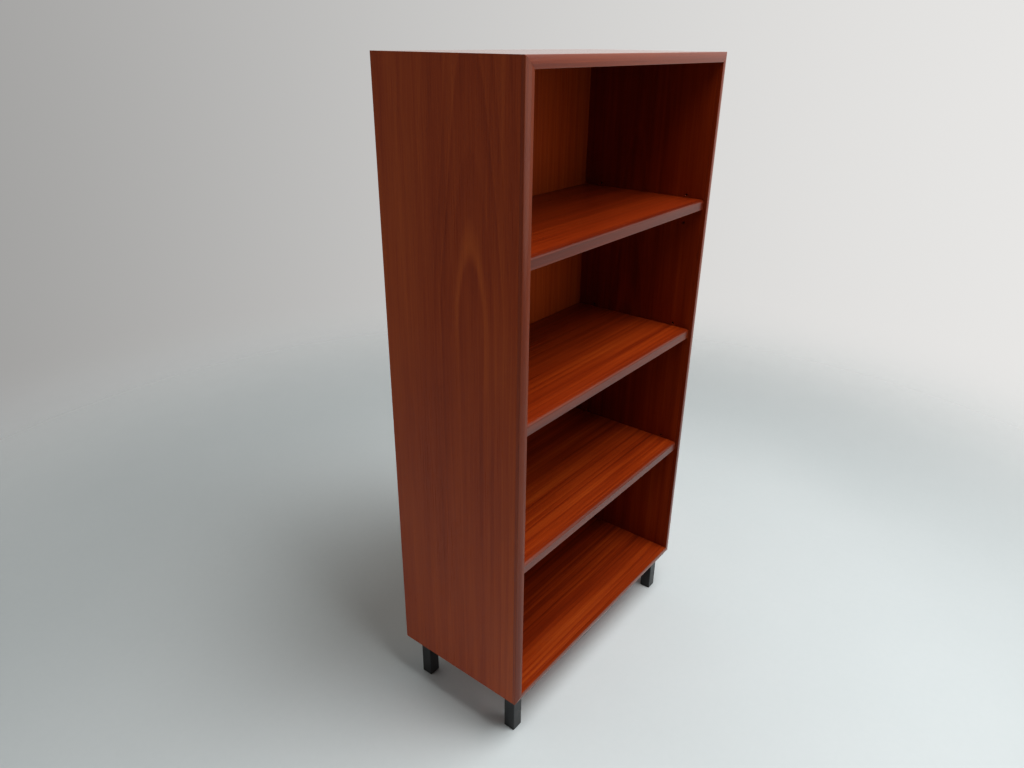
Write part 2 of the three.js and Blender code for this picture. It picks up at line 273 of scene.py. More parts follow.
def teak(name, along, across, seed, heart=None, spacing=9 * MM, line=1.0, band=0.6, streak=1.0, tone=0.0,
         depth_of_tone=1.0, painted_front_shade=0.0, painted_facing_shade=0.0, roughness=0.32, gloss=0.35, coat=0.25):
    """Lacquered teak. The grain runs along one axis, and its figure lies across another.

    heart is None for straight grain, or (where across the board the cathedral's middle is, how far the
    board was cut from the tree's middle, how fast the rings widen down the board, where along it one
    arch has its top). The front tone is painted shade, added to the tone along the front of a board lying
    flat. The facing shade is painted shade: how far faces that look forwards or back are darkened and
    greyed.
    """
    surface = Surface(
        name, Specular_IOR_Level=gloss, Coat_Weight=coat, Coat_Roughness=0.16, Coat_IOR=1.5
    )
    parts = dict(zip("XYZ", surface.split(surface.place())))
    length = parts.pop(along)
    width = parts.pop(across)
    depth = next(iter(parts.values()))
    grain = surface.joined(width, depth, length)
    offset = (seed * 1.37, seed * 0.71, seed * 2.93)

    drift = surface.noise(surface.stretched(grain, (7, 7, 1.1), offset), detail=2)
    waver = surface.noise(surface.stretched(grain, (30, 30, 5), offset), detail=2)
    wandering = surface.total(
        width,
        surface.scaled(drift, 0.022, 0.5),
        surface.scaled(waver, 0.0045, 0.5),
    )
    if heart:
        middle, cut_at, widening, arch_top = heart
        from_middle = surface.math("SUBTRACT", wandering, middle)
        radius = surface.math(
            "SQRT",
            surface.math("ADD", surface.math("MULTIPLY", from_middle, from_middle), cut_at * cut_at),
        )
        # Below its top the arch opens, until its legs run straight down the board.
        rise = surface.math(
            "SMOOTH_MAX", surface.math("SUBTRACT", length, arch_top), -ARCH_OPENING, ARCH_OPENING * 0.7
        )
        reach = surface.total(radius, surface.scaled(rise, widening), -cut_at)
    else:
        reach = surface.total(wandering, seed * 0.013)
    ring = surface.math("DIVIDE", reach, spacing)
    ring_place = surface.math("FRACT", ring)
    ring_number = surface.math("FLOOR", ring)
    ring_strength = surface.node(
        "ShaderNodeTexWhiteNoise", None, surface.math("ADD", ring_number, seed), noise_dimensions="1D"
    )
    # Each ring darkens slowly outwards, then gives way more quickly to a light band.
    ring_shade = surface.ramp(
        ring_place, (0.0, 0.55), (0.35, 0.5), (0.68, 0.28), (0.78, 0.32), (0.88, 0.70), (0.95, 0.70),
        (1.0, 0.55),
    )
    strength = surface.ranged(ring_strength, 0, 1, 0.25, 1.0)
    rings = surface.math("MULTIPLY", surface.scaled(ring_shade, 1.0, 0.5), strength)
    if heart:
        # One arch stands out: a light band with darker wood inside it, fading down its legs.
        off_arch = surface.math("ABSOLUTE", reach)
        rings = surface.math("MULTIPLY", rings, surface.ranged(off_arch, 0, 0.05, 1.1, 0.4))
        faded, full = ARCH_FADE
        legs = surface.ranged(length, arch_top - faded, arch_top - full, 0.0, 1.0)
        arch = surface.math("MULTIPLY", surface.ranged(off_arch, *ARCH_LINE, ARCH_LIGHT, 0), legs)
        inside = surface.math("MULTIPLY", surface.ranged(reach, *ARCH_INSIDE, ARCH_DARK, 0), legs)
        rings = surface.total(rings, arch, inside)

    bands = surface.noise(surface.stretched(grain, (38, 38, 0.9), offset), detail=2, roughness=0.55)
    streaks = surface.noise(surface.stretched(grain, (110, 110, 1.8), offset), detail=4, roughness=0.6)
    fibres = surface.noise(surface.stretched(grain, (640, 640, 10), offset), detail=3, roughness=0.65)
    patches = surface.noise(surface.stretched(grain, (4.5, 4.5, 1.4), offset), detail=2)
    pore_cells = surface.cells(surface.stretched(grain, (1500, 1500, 95), offset))
    pore_groups = surface.noise(surface.stretched(grain, (160, 160, 12), offset), detail=1)
    pores = surface.math(
        "MULTIPLY",
        surface.ranged(pore_cells, 0.16, 0.34, 1, 0),
        surface.ranged(pore_groups, 0.44, 0.60, 0, 1),
    )

    shade = surface.total(
        surface.scaled(rings, 0.62 * line),
        surface.scaled(bands, 0.85 * band, 0.5),
        surface.scaled(streaks, 0.65 * streak, 0.5),
        surface.scaled(fibres, 0.42, 0.5),
        surface.scaled(patches, 0.60, 0.5),
        surface.scaled(pores, -0.18),
        0.5 + tone,
    )
    # Painted shade along the front of a board lying flat, where the lamps light it most.
    if painted_front_shade:
        shade = surface.total(shade, surface.ranged(width, FRONT, FRONT + FRONT_SHADED, painted_front_shade, 0))
    dark, red, middle_tone, light = (
        tuple(part * depth_of_tone for part in tone_colour) for tone_colour in TEAK_TONES
    )
    colour = surface.ramp(shade, (0.02, dark), (0.32, red), (0.54, middle_tone), (0.98, light))
    # Painted shade: faces that look forwards or back are darkened and greyed.
    if painted_facing_shade:
        facing = surface.split(surface.node("ShaderNodeTexCoord", out=1))[Y]
        painted_facing_mask = surface.ranged(surface.math("ABSOLUTE", facing), *PAINTED_SHADE_FACING, 0.0, painted_facing_shade)
        colour = surface.mixed(painted_facing_mask, colour, PAINTED_SHADE_TINT, "MULTIPLY")
    height = surface.total(
        surface.scaled(fibres, 0.55), surface.scaled(pores, -0.9), surface.scaled(streaks, 0.8)
    )
    dullness = surface.total(
        surface.scaled(fibres, 0.2, 0.5),
        surface.scaled(pores, 0.14),
        surface.scaled(patches, 0.2, 0.5),
        roughness,
    )
    return surface.finish(colour, dullness, height, 0.08 * MM)


def raw_wood(name, along, across, seed, light, dark, rough=0.72):
    """Unfinished wood: a board's bare edge, or the back of the back panel."""
    surface = Surface(name, Specular_IOR_Level=0.35)
    parts = dict(zip("XYZ", surface.split(surface.place())))
    length = parts.pop(along)
    width = parts.pop(across)
    grain = surface.joined(width, next(iter(parts.values())), length)
    offset = (seed * 1.1, seed * 0.6, seed * 2.3)
    streaks = surface.noise(surface.stretched(grain, (60, 60, 2.2), offset), detail=4, roughness=0.6)
    fibres = surface.noise(surface.stretched(grain, (700, 700, 14), offset), detail=3, roughness=0.65)
    stain = surface.noise(surface.stretched(grain, (5, 5, 2.6), offset), detail=3, roughness=0.55)
    shade = surface.total(
        surface.scaled(streaks, 1.5, 0.5),
        surface.scaled(fibres, 1.1, 0.5),
        surface.scaled(stain, 1.2, 0.5),
        0.5,
    )
    colour = surface.ramp(shade, (0.1, dark), (0.9, light))
    gloss = surface.total(surface.scaled(fibres, 0.3, 0.5), rough)
    height = surface.total(fibres, surface.scaled(streaks, 0.6))
    return surface.finish(colour, gloss, height, 0.2 * MM)


def plies(name, normal, layer, seed):
    """Plywood seen on its edge: thin layers across its thickness, every other one dark end grain."""
    surface = Surface(name, Specular_IOR_Level=0.3)
    place = surface.place()
    depth = surface.split(place)["XYZ".index(normal)]
    layers = surface.math("PINGPONG", surface.math("DIVIDE", depth, layer), 1.0)
    speckle = surface.noise(surface.stretched(place, (900, 900, 900), (seed, 0, 0)), detail=2)
    shade = surface.total(
        surface.ranged(layers, 0.42, 0.58, -0.3, 0.3), surface.scaled(speckle, 1.2, 0.5), 0.5
    )
    colour = surface.ramp(shade, (0.1, (0.16, 0.075, 0.03)), (0.9, (0.52, 0.34, 0.18)))
    return surface.finish(colour, surface.scaled(speckle, 0.3, -2.2), speckle, 0.12 * MM)


def black_lacquer(name):
    """Sprayed black lacquer on steel: a faint orange peel, dust in the gloss and a few rubbed spots."""
    surface = Surface(name, Specular_IOR_Level=0.5)
    place = surface.place()
    peel = surface.noise(place, scale=420, detail=2)
    cloud = surface.noise(place, scale=38, detail=4, roughness=0.6)
    specks = surface.ranged(surface.noise(place, scale=900, detail=2), 0.68, 0.74, 0, 1)
    colour = surface.ramp(cloud, (0.3, (0.009, 0.009, 0.0095)), (0.7, (0.019, 0.019, 0.020)))
    colour = surface.mixed(specks, colour, (0.075, 0.072, 0.068))
    gloss = surface.total(surface.scaled(cloud, 0.45, 0.5), surface.scaled(specks, 0.25), 0.36)
    height = surface.total(peel, surface.scaled(cloud, 0.8))
    return surface.finish(colour, gloss, height, 0.12 * MM)


def moulded_plastic(name):
    surface = Surface(name, Specular_IOR_Level=0.4)
    place = surface.place()
    grain = surface.noise(place, scale=1600, detail=2)
    scuffs = surface.noise(surface.stretched(place, (60, 60, 240)), detail=3, roughness=0.65)
    colour = surface.ramp(scuffs, (0.35, (0.010, 0.010, 0.010)), (0.75, (0.035, 0.034, 0.032)))
    gloss = surface.total(surface.scaled(grain, 0.2, 0.5), surface.scaled(scuffs, 0.4, 0.5), 0.55)
    return surface.finish(colour, gloss, surface.total(grain, scuffs), 0.08 * MM)


def turned_metal(name, bright, dull, axis, rough=0.3):
    """Lathe-turned metal: fine rings round its axis and a dull tarnish."""
    surface = Surface(name, Metallic=1.0)
    place = surface.place()
    scale = [60, 60, 60]
    scale["XYZ".index(axis)] = 5200
    rings = surface.noise(surface.stretched(place, tuple(scale)), detail=2)
    tarnish = surface.noise(place, scale=260, detail=4, roughness=0.6)
    colour = surface.ramp(tarnish, (0.35, bright), (0.72, dull))
    gloss = surface.total(surface.scaled(tarnish, 0.5, 0.5), surface.scaled(rings, 0.2, 0.5), rough)
    return surface.finish(colour, gloss, rings, 0.03 * MM)


def floor_paint(name):
    """Plain pale floor with faint clouds, which fades into the backdrop far from the bookcase."""
    surface = Surface(name, Specular_IOR_Level=0.25)
    place = surface.place()
    clouds = surface.noise(place, scale=1.3, detail=5, roughness=0.6)
    grit = surface.noise(place, scale=60, detail=3, roughness=0.6)
    shade = surface.total(surface.scaled(clouds, 0.8, 0.5), surface.scaled(grit, 0.25, 0.5), 0.5)
    colour = surface.ramp(shade, (0.2, (0.665, 0.720, 0.728)), (0.8, (0.720, 0.770, 0.778)))
    distance = surface.node("ShaderNodeVectorMath", place, operation="LENGTH", out=1)
    fade = surface.node("ShaderNodeMapRange", distance, *FLOOR_FADE, 1, 0, interpolation_type="SMOOTHSTEP")
    surface.feed(surface.shader.inputs["Alpha"], fade)
    dullness = surface.total(surface.scaled(clouds, 0.3, 0.5), 0.6)
    return surface.finish(colour, dullness, grit, 0.1 * MM)


# ---- Mesh building ----

def outline_mesh(near, far):
    """A closed bar between two outlines that match point for point."""
    bm = bmesh.new()
    ends = [[bm.verts.new(point) for point in outline] for outline in (near, far)]
    count = len(near)
    for i in range(count):
        j = (i + 1) % count
        bm.faces.new((ends[0][i], ends[0][j], ends[1][j], ends[1][i]))
    bm.faces.new(reversed(ends[0]))
    bm.faces.new(ends[1])
    bmesh.ops.recalc_face_normals(bm, faces=bm.faces)
    return bm


def box_mesh(low, high):
    xs, ys, zs = zip(low, high)
    near = [(xs[0], ys[0], zs[0]), (xs[1], ys[0], zs[0]), (xs[1], ys[1], zs[0]), (xs[0], ys[1], zs[0])]
    return outline_mesh(near, [(x, y, zs[1]) for x, y, _ in near])


def turned_mesh(outline, sides=TURNED_SIDES):
    """A solid turned about the upright axis. The outline's points are (radius, height), bottom first."""
    bm = bmesh.new()
    rings = []
    for radius, height in outline:
        if radius == 0:
            rings.append([bm.verts.new((0, 0, height))])
            continue
        angles = [2 * math.pi * i / sides for i in range(sides)]
        rings.append([bm.verts.new((radius * math.cos(a), radius * math.sin(a), height)) for a in angles])
    for low, high in zip(rings, rings[1:]):
        for i in range(sides):
            j = (i + 1) % sides
            corners = [low[i % len(low)], low[j % len(low)], high[j % len(high)], high[i % len(high)]]
            bm.faces.new(list(dict.fromkeys(corners)))
    bmesh.ops.recalc_face_normals(bm, faces=bm.faces)
    return bm


def arc(centre, radii, start, end, steps=ROUND_STEPS):
    """Points on an elliptical arc, ends included; angles in degrees."""
    points = []
    for i in range(steps + 1):
        angle = math.radians(start + (end - start) * i / steps)
        points.append((centre[0] + radii[0] * math.cos(angle), centre[1] + radii[1] * math.sin(angle)))
    return points


def rounded_rectangle(low, high, radius, steps=6):
    points = []
    centres = [(high[0] - radius, high[1] - radius), (low[0] + radius, high[1] - radius),
               (low[0] + radius, low[1] + radius), (high[0] - radius, low[1] + radius)]
    for quarter, centre in enumerate(centres):
        points += arc(centre, (radius, radius), 90 * quarter, 90 * quarter + 90, steps)
    return points


def upright_bar(outline, low, high):
    return outline_mesh([(x, y, low) for x, y in outline], [(x, y, high) for x, y in outline])


def as_object(bm, name="scratch"):
    mesh = bpy.data.meshes.new(name)
    bm.to_mesh(mesh)
    bm.free()
    made = bpy.data.objects.new(name, mesh)
    bpy.context.scene.collection.objects.link(made)
    return made


def placed(bm, at, degrees=0, axis="X"):
    """Turned about an axis, then moved to its place."""
    bm.transform(Matrix.Translation(at) @ Matrix.Rotation(math.radians(degrees), 4, axis))
    return bm


def combined(bm, other, operation):
    """The first solid cut by the second, or joined to it."""
    solid, tool = as_object(bm), as_object(other)
    step = solid.modifiers.new("step", "BOOLEAN")
    step.operation = operation
    step.solver = "EXACT"
    step.use_self = False
    step.object = tool
    bpy.context.view_layer.update()
    shaped = solid.evaluated_get(bpy.context.evaluated_depsgraph_get()).to_mesh()
    result = bmesh.new()
    result.from_mesh(shaped)
    for used in (solid, tool):
        mesh = used.data
        bpy.data.objects.remove(used)
        bpy.data.meshes.remove(mesh)
    return result


def eased(bm, width, segments=2, angle=30):
    """Rounds every edge sharper than the angle."""
    bmesh.ops.remove_doubles(bm, verts=bm.verts, dist=MERGED)
    bmesh.ops.dissolve_limit(bm, angle_limit=math.radians(0.5), verts=bm.verts, edges=bm.edges)
    sharp = [e for e in bm.edges if e.is_manifold and e.calc_face_angle(0) > math.radians(angle)]
    bmesh.ops.bevel(
        bm, geom=sharp, offset=width, segments=segments, profile=0.5, affect="EDGES", clamp_overlap=True
    )
    return bm


def piece(name, bm, body, materials, nodes=(), pick=None):
    """A finished piece of the bookcase. pick chooses a face's material by its number in the list."""
    if pick:
        bm.faces.ensure_lookup_table()
        for face in bm.faces:
            face.material_index = pick(face)
    made = as_object(bm, name)
    for material in materials:
        made.data.materials.append(material)
    made.data.shade_smooth()
    made.data.set_sharp_from_angle(angle=math.radians(50))
    weighted = made.modifiers.new("even faces", "WEIGHTED_NORMAL")
    weighted.keep_sharp = True
    weighted.weight = 100
    if nodes:
        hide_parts(*nodes)
    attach(made, body)
    return made


# ---- Case ----

def frame_point(side, end, back, inset):
    """A point at one end of a mitred side: how far back from the front, how far in from its outer face."""
    across, up = WIDTH / 2, HEIGHT / 2
    if side in ("top", "bottom"):
        x = end * (across - inset - GLUE_LINE)
        z = (up - inset) * (1 if side == "top" else -1)
    else:
        x = (across - inset) * (1 if side == "right" else -1)
        z = end * (up - inset - GLUE_LINE)
    return Vector(((LEFT + RIGHT) / 2 + x, FRONT + back, MIDDLE_Z + z))


def mitred_bar(side, profile):
    ends = [[frame_point(side, end, back, inset) for back, inset in profile] for end in (-1, 1)]
    return outline_mesh(*ends)


def board_profile():
    deep = BACK - FRONT
    return [
        (LIPPING, 0), (deep, 0), (deep, VENEER), (deep, REBATE),
        (deep - PANEL - GLUE_LINE, REBATE), (deep - PANEL - GLUE_LINE, BOARD), (LIPPING, BOARD),
    ]


def lipping_profile():
    """A narrow flat beside the inner face, then a long soft round back to the outer face."""
    rounded = BOARD - LIPPING_FLAT
    inner = 0.9 * MM
    outer = 1.2 * MM
    points = [(LIPPING - GLUE_LINE, BOARD)]
    points += arc((inner, BOARD - inner), (inner, inner), 90, 180, 6)
    start, control, end = (0, rounded), (LIPPING_SETBACK / 5, rounded / 2), (LIPPING_SETBACK - outer, outer)
    for i in range(ROUND_STEPS + 1):
        t = i / ROUND_STEPS
        points.append(tuple(
            (1 - t) ** 2 * a + 2 * t * (1 - t) * b + t * t * c for a, b, c in zip(start, control, end)
        ))
    points += [(LIPPING_SETBACK - outer * 0.55, outer * 0.3), (LIPPING_SETBACK, 0)]
    points.append((LIPPING - GLUE_LINE, 0))
    return points


def pin_holes(side):
    """Drilled holes for every place that a shelf pin can go in one side."""
    inner = RIGHT - BOARD if side == "right" else LEFT + BOARD
    outward = 1 if side == "right" else -1
    holes = []
    rim = HOLE_RADIUS + HOLE_CHAMFER
    outline = [(0, -MM), (rim, -MM), (rim, 0), (HOLE_RADIUS, HOLE_CHAMFER),
               (HOLE_RADIUS, HOLE_DEPTH - MM), (0, HOLE_DEPTH)]
    for shelf in SHELVES:
        for row in PIN_ROWS:
            pin = middle_of(f"shelf_{shelf}_pin_{row}_{side}")
            for step in range(-HOLES_EACH_WAY, HOLES_EACH_WAY + 1):
                at = (inner, pin.y, pin.z + step * HOLE_PITCH)
                holes.append(placed(turned_mesh(outline, HOLE_SIDES), at, 90 * outward, "Y"))
    return holes


def tongue_groove(side, end):
    """The groove for the loose tongue across one mitre."""
    wide, thick = TONGUE[0] + 2 * PLAY, TONGUE[1] + 2 * PLAY
    front, back = FRONT + LIPPING - PLAY, BACK - TONGUE_STOP + PLAY
    groove = box_mesh((-wide / 2, front, -thick / 2), (wide / 2, back, thick / 2))
    corner = frame_point(side, end, 0, TONGUE_INSET)
    middle = Vector((math.copysign(WIDTH / 2 - TONGUE_INSET, corner.x), 0,
                     MIDDLE_Z + math.copysign(HEIGHT / 2 - TONGUE_INSET, corner.z - MIDDLE_Z)))
    slope = 1 if middle.x * (middle.z - MIDDLE_Z) > 0 else -1
    return placed(groove, middle, 45 * slope, "Y")


def screw_outline(size, play=0.0):
    """A countersunk screw standing on its point with its head's face at height 0, or with play its hole."""
    length, shank, head, sink = size["length"], size["shank"], size["head"], size["sink"]
    if play:
        return [(0, -length - play), (shank + play, -length - play), (shank + play, -sink),
                (head + play, 0), (head + play, MM), (0, MM)]
    outline = [(0, -length), (shank * 0.25, -length + 0.3 * MM), (shank * 0.8, -length + POINT)]
    core = shank * 0.76
    height = -length + POINT
    while height < -sink - POINT:
        outline += [(shank, height + THREAD * 0.2), (core, height + THREAD * 0.5),
                    (core, height + THREAD * 0.9)]
        height += THREAD
    outline += [(shank * 0.95, -sink - 3 * MM), (shank * 0.95, -sink)]
    outline += [(head - 0.12 * MM, -0.16 * MM), (head, -0.08 * MM), (head - 0.15 * MM, 0), (0, 0)]
    return outline


def back_screw_places():
    middles = [middle_of(f"back_screw_{i + 1}") for i in range(BACK_SCREWS)]
    return [(place.x, BACK, place.z) for place in middles]


def leg_screw_places(corner):
    middles = [middle_of(f"leg_{corner}_screw_{i + 1}") for i in range(LEG_SCREWS)]
    return [(place.x, place.y, UNDER - PLATE) for place in middles]


def screw_hole(size):
    return turned_mesh(screw_outline(size, PLAY), HOLE_SIDES)


def back_screw_holes():
    return [placed(screw_hole(BACK_SCREW), place, -90) for place in back_screw_places()]


def leg_screw_holes(corner):
    return [placed(screw_hole(LEG_SCREW), place, 180) for place in leg_screw_places(corner)]


CASE_LOOKS = {
    # The outer side shows one cathedral, nearer the front than the back.
    "left": {"seed": 1, "heart": (FRONT + 0.113, 0.075, 0.068, 1.118), "spacing": 12.1 * MM, "line": 0.85,
             "band": 0.55, "streak": 0.55, "tone": 0.12, "depth_of_tone": 1.16, "gloss": 0.22, "coat": 0.16},
    # The right board's lower tone is painted shade: the whole board is darkened to the shade on its inner
    # face.
    "right": {"seed": 2, "heart": (FRONT + 0.19, 0.09, 0.05, 0.86), "spacing": 10 * MM, "line": 0.6,
              "streak": 0.7, "tone": -0.11, "gloss": 0.2, "coat": 0.14},
    "top": {"seed": 3, "spacing": 13 * MM, "line": 0.6, "roughness": 0.24, "gloss": 0.6, "coat": 1.0},
    "bottom": {"seed": 4, "spacing": 11 * MM, "line": 1.3, "band": 1.7, "streak": 1.5, "tone": -0.10},
}


def make_case():
    for side, looks in CASE_LOOKS.items():
        upright = side in ("left", "right")
        along = "Z" if upright else "X"
        board = mitred_bar(side, board_profile())
        cutters = [tongue_groove(side, -1), tongue_groove(side, 1), *back_screw_holes()]
        if upright:
            cutters += pin_holes(side)
        else:
            for corner in CORNERS if side == "bottom" else ():
                cutters += leg_screw_holes(corner)
        for cutter in cutters:
            board = combined(board, cutter, "DIFFERENCE")
        veneer = teak(f"teak veneer, {side}", along, "Y", **looks)
        raw = raw_wood(f"bare board edge, {side}", along, "Z" if along == "X" else "X", looks["seed"],
                       (0.45, 0.28, 0.14), (0.20, 0.105, 0.045))

        def bare(face):
            return int(face.calc_center_median().y > BACK - PANEL - MM and face.normal.y > 0.9)

        piece(f"board_{side}", eased(board, ARRIS / 2), "case", [veneer, raw],
              [f"case_{side}"], bare)
        solid = teak(f"solid teak, {side}", along, "Z" if along == "X" else "X", looks["seed"] + 20,
                     spacing=4.5 * MM, **(TOP_LIPPING if side == "top" else SIDE_LIPPING))
        piece(f"edge_{side}", eased(mitred_bar(side, lipping_profile()), FINE_ARRIS), "case",
              [solid], [f"lipping_{side}"])


def make_back():
    panel = box_mesh(PANEL_LOW, PANEL_HIGH)
    for hole in back_screw_holes():
        panel = combined(panel, hole, "DIFFERENCE")
    # The back's raised tone is painted light: the veneer is brightened to the light that reaches it through
    # the front.
    veneer = teak("teak veneer, back", "Z", "X", 9, spacing=15 * MM, line=0.8, streak=1.2, tone=0.28,
                  gloss=0.2, coat=0.12)
    raw = raw_wood("bare plywood, back", "Z", "X", 12, (0.47, 0.245, 0.125), (0.27, 0.115, 0.050))
    edge = plies("plywood edge", "Y", 1.2 * MM, 3)

    def faces(face):
        if face.normal.y < -0.9:
            return 0
        return 1 if face.normal.y > 0.9 else 2

    piece("back", eased(panel, ARRIS / 2), "case", [veneer, raw, edge], ["back_panel"], faces)


def make_tongues():
    edge = plies("plywood tongue", "Y", 1.0 * MM, 5)
    for corner in ("top_right", "bottom_right", "bottom_left", "top_left"):
        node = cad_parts[f"corner_tongue_{corner}"]
        node.data.materials.clear()
        node.data.materials.append(edge)


# ---- Shelves ----

# Each shelf's front tone is painted shade along its front.
SHELF_LOOKS = {
    "lower": {"seed": 5, "spacing": 12 * MM, "line": 1.3, "band": 1.4, "streak": 1.5,
              "tone": 0.0, "painted_front_shade": -0.15},
    "middle": {"seed": 6, "spacing": 14 * MM, "line": 1.0, "band": 0.9, "streak": 1.2,
               "tone": -0.08, "painted_front_shade": -0.15},
    "upper": {"seed": 7, "spacing": 16 * MM, "line": 0.9, "band": 0.7, "streak": 1.0,
              "tone": -0.15, "painted_front_shade": -0.13},
}


def shelf_edge_profile(low, high):
    deep, tall = SHELF_ROUND
    lower = 0.9 * MM
    points = [(high.y, low.z), (high.y, high.z)]
    points += arc((low.y + deep, high.z - tall), (deep, tall), 90, 180)
    points += arc((low.y + lower, low.z + lower), (lower, lower), 180, 270, 6)
    return points


def make_shelf(name, looks):
    body = f"shelf_{name}"
    low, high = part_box(f"shelf_{name}_board")
    veneer = teak(f"teak veneer, {name} shelf", "X", "Y", **looks)
    banding = teak(f"teak banding, {name} shelf", "Y", "Z", looks["seed"] + 30, spacing=5 * MM)

    def faces(face):
        return int(abs(face.normal.x) > 0.9)

    piece(f"shelf_{name}_top", eased(box_mesh(low, high), ARRIS / 2), body, [veneer, banding],
          [f"shelf_{name}_board"], faces)
    low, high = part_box(f"shelf_{name}_lipping")
    profile = shelf_edge_profile(low, high)
    bar = outline_mesh([(low.x, y, z) for y, z in profile], [(high.x, y, z) for y, z in profile])
    solid = teak(f"solid teak, {name} shelf", "X", "Z", looks["seed"] + 40, spacing=5 * MM,
                 tone=looks["tone"] + SHELF_LIPPING_TONE, **SHELF_LIPPING)
    piece(f"shelf_{name}_edge", eased(bar, FINE_ARRIS), body, [solid],
          [f"shelf_{name}_lipping"])


def pin_outline():
    """A pin standing on its head: the head reaches down from height 0, and the shank up from it."""
    head = PIN_LENGTH - SHANK_LENGTH
    return [
        (0, -head), (PIN_RADIUS - 1.0 * MM, -head), (PIN_RADIUS - 0.4 * MM, -head + 0.15 * MM),
        (PIN_RADIUS - 0.05 * MM, -head + 0.6 * MM), (PIN_RADIUS, -head + 1.0 * MM),
        (PIN_RADIUS, -1.6 * MM), (PIN_RADIUS - 0.35 * MM, -1.4 * MM), (PIN_RADIUS - 0.35 * MM, -1.0 * MM),
        (PIN_RADIUS, -0.8 * MM), (PIN_RADIUS, -0.2 * MM), (PIN_RADIUS - 0.2 * MM, 0),
        (SHANK_RADIUS, 0), (SHANK_RADIUS, SHANK_LENGTH - 0.8 * MM),
        (SHANK_RADIUS - 0.3 * MM, SHANK_LENGTH - 0.2 * MM), (SHANK_RADIUS - 0.8 * MM, SHANK_LENGTH),
        (0, SHANK_LENGTH),
    ]


def make_pins():
    brass = turned_metal("turned brass", (0.66, 0.47, 0.20), (0.40, 0.25, 0.10), "X")
    for shelf in SHELVES:
        for row in PIN_ROWS:
            for side, outward in (("left", -1), ("right", 1)):
                node = f"shelf_{shelf}_pin_{row}_{side}"
                middle = middle_of(node)
                shoulder = middle.x + outward * (PIN_LENGTH / 2 - SHANK_LENGTH)
                pin = placed(turned_mesh(pin_outline()), (shoulder, middle.y, middle.z), 90 * outward, "Y")
                piece(f"pin_{shelf}_{row}_{side}", pin, node, [brass], [node])


# ---- Legs ----

def mirrored(bm, in_x, in_y):
    bm.transform(Matrix.Diagonal((in_x, in_y, 1, 1)))
    bmesh.ops.recalc_face_normals(bm, faces=bm.faces)
    return bm


def square(half, corner):
    return rounded_rectangle((-half, -half), (half, half), corner)


def leg_mesh():
    """The welded leg standing at its own middle, its plate reaching inwards along +X and +Y."""
    half = LEG_SIZE / 2
    reach = PLATE_SIZE - half
    tube = upright_bar(square(half, LEG_CORNER), GLIDE + GLUE_LINE, UNDER - PLATE)
    plate_outline = rounded_rectangle((-half, -half), (reach, reach), PLATE_CORNER)
    plate = upright_bar(plate_outline, UNDER - PLATE, UNDER - GLUE_LINE)
    hollow = upright_bar(square(half - LEG_WALL, MM), 0, UNDER - PLATE - MM)
    return combined(combined(tube, plate, "UNION"), hollow, "DIFFERENCE")


def weld_mesh():
    """A rippled bead of weld round the top of the tube, on the two sides where the plate reaches past it."""
    half = LEG_SIZE / 2
    turn = half - LEG_CORNER
    path = [Vector((half, y, 0)) for y in (-half + WELD, turn)]
    path += [Vector((x, y, 0)) for x, y in arc((turn, turn), (LEG_CORNER, LEG_CORNER), 0, 90, 4)]
    path += [Vector((x, half, 0)) for x in (turn, -half + WELD)]
    fine = []
    for start, end in zip(path, path[1:]):
        count = max(1, round((end - start).length / WELD_STEP))
        fine += [start.lerp(end, i / count) for i in range(count)]
    fine.append(path[-1])
    bm = bmesh.new()
    rings = []
    travelled = 0.0
    for i, point in enumerate(fine):
        ahead = fine[min(i + 1, len(fine) - 1)] - fine[max(i - 1, 0)]
        outward = Vector((ahead.y, -ahead.x, 0)).normalized()
        if i:
            travelled += (point - fine[i - 1]).length
        ripple = 1 + 0.14 * math.sin(travelled / WELD_RIPPLE * 2 * math.pi)
        taper = min(1.0, (i + 1) / 4, (len(fine) - i) / 4)
        size = WELD * ripple * (0.35 + 0.65 * taper)
        sunk = -0.3 * MM
        section = [(sunk, sunk), (size, sunk), (size * 0.72, size * 0.30), (size * 0.48, size * 0.48),
                   (size * 0.30, size * 0.72), (sunk, size)]
        rings.append([
            bm.verts.new(point + outward * across + Vector((0, 0, UNDER - PLATE - down)))
            for across, down in section
        ])
    count = len(rings[0])
    for near, far in zip(rings, rings[1:]):
        for i in range(count):
            bm.faces.new((near[i], near[(i + 1) % count], far[(i + 1) % count], far[i]))
    bm.faces.new(rings[0])
    bm.faces.new(rings[-1])
    bmesh.ops.recalc_face_normals(bm, faces=bm.faces)
    return bm


def glide_mesh():
    """A plastic glide: a square foot with a bevelled sole, and the hollow stem that holds it in the tube."""
    half = LEG_SIZE / 2
    inwards, upwards = GLIDE_BEVEL
    foot = outline_mesh(
        [(x, y, 0) for x, y in square(half - inwards, LEG_CORNER)],
        [(x, y, upwards) for x, y in square(half, LEG_CORNER)],
    )
    upper = upright_bar(square(half, LEG_CORNER), upwards, GLIDE)
    stem_half = half - LEG_WALL - STEM_PLAY
    stem = upright_bar(square(stem_half, MM), GLIDE, GLIDE + STEM_LENGTH)
    hollow = upright_bar(square(stem_half - STEM_WALL, MM / 2), GLIDE, GLIDE + STEM_LENGTH + MM)
    whole = combined(combined(foot, upper, "UNION"), stem, "UNION")
    return combined(whole, hollow, "DIFFERENCE")


def screw_mesh(size, slot_turn):
    """A screw standing on its point, its slot turned by some degrees."""
    head = size["head"]
    half = SCREW_SLOT / 2
    slot = box_mesh((-2 * head, -half, -SCREW_SLOT), (2 * head, half, MM))
    screw = combined(turned_mesh(screw_outline(size), SCREW_SIDES), slot, "DIFFERENCE")
    return placed(screw, (0, 0, 0), slot_turn, "Z")


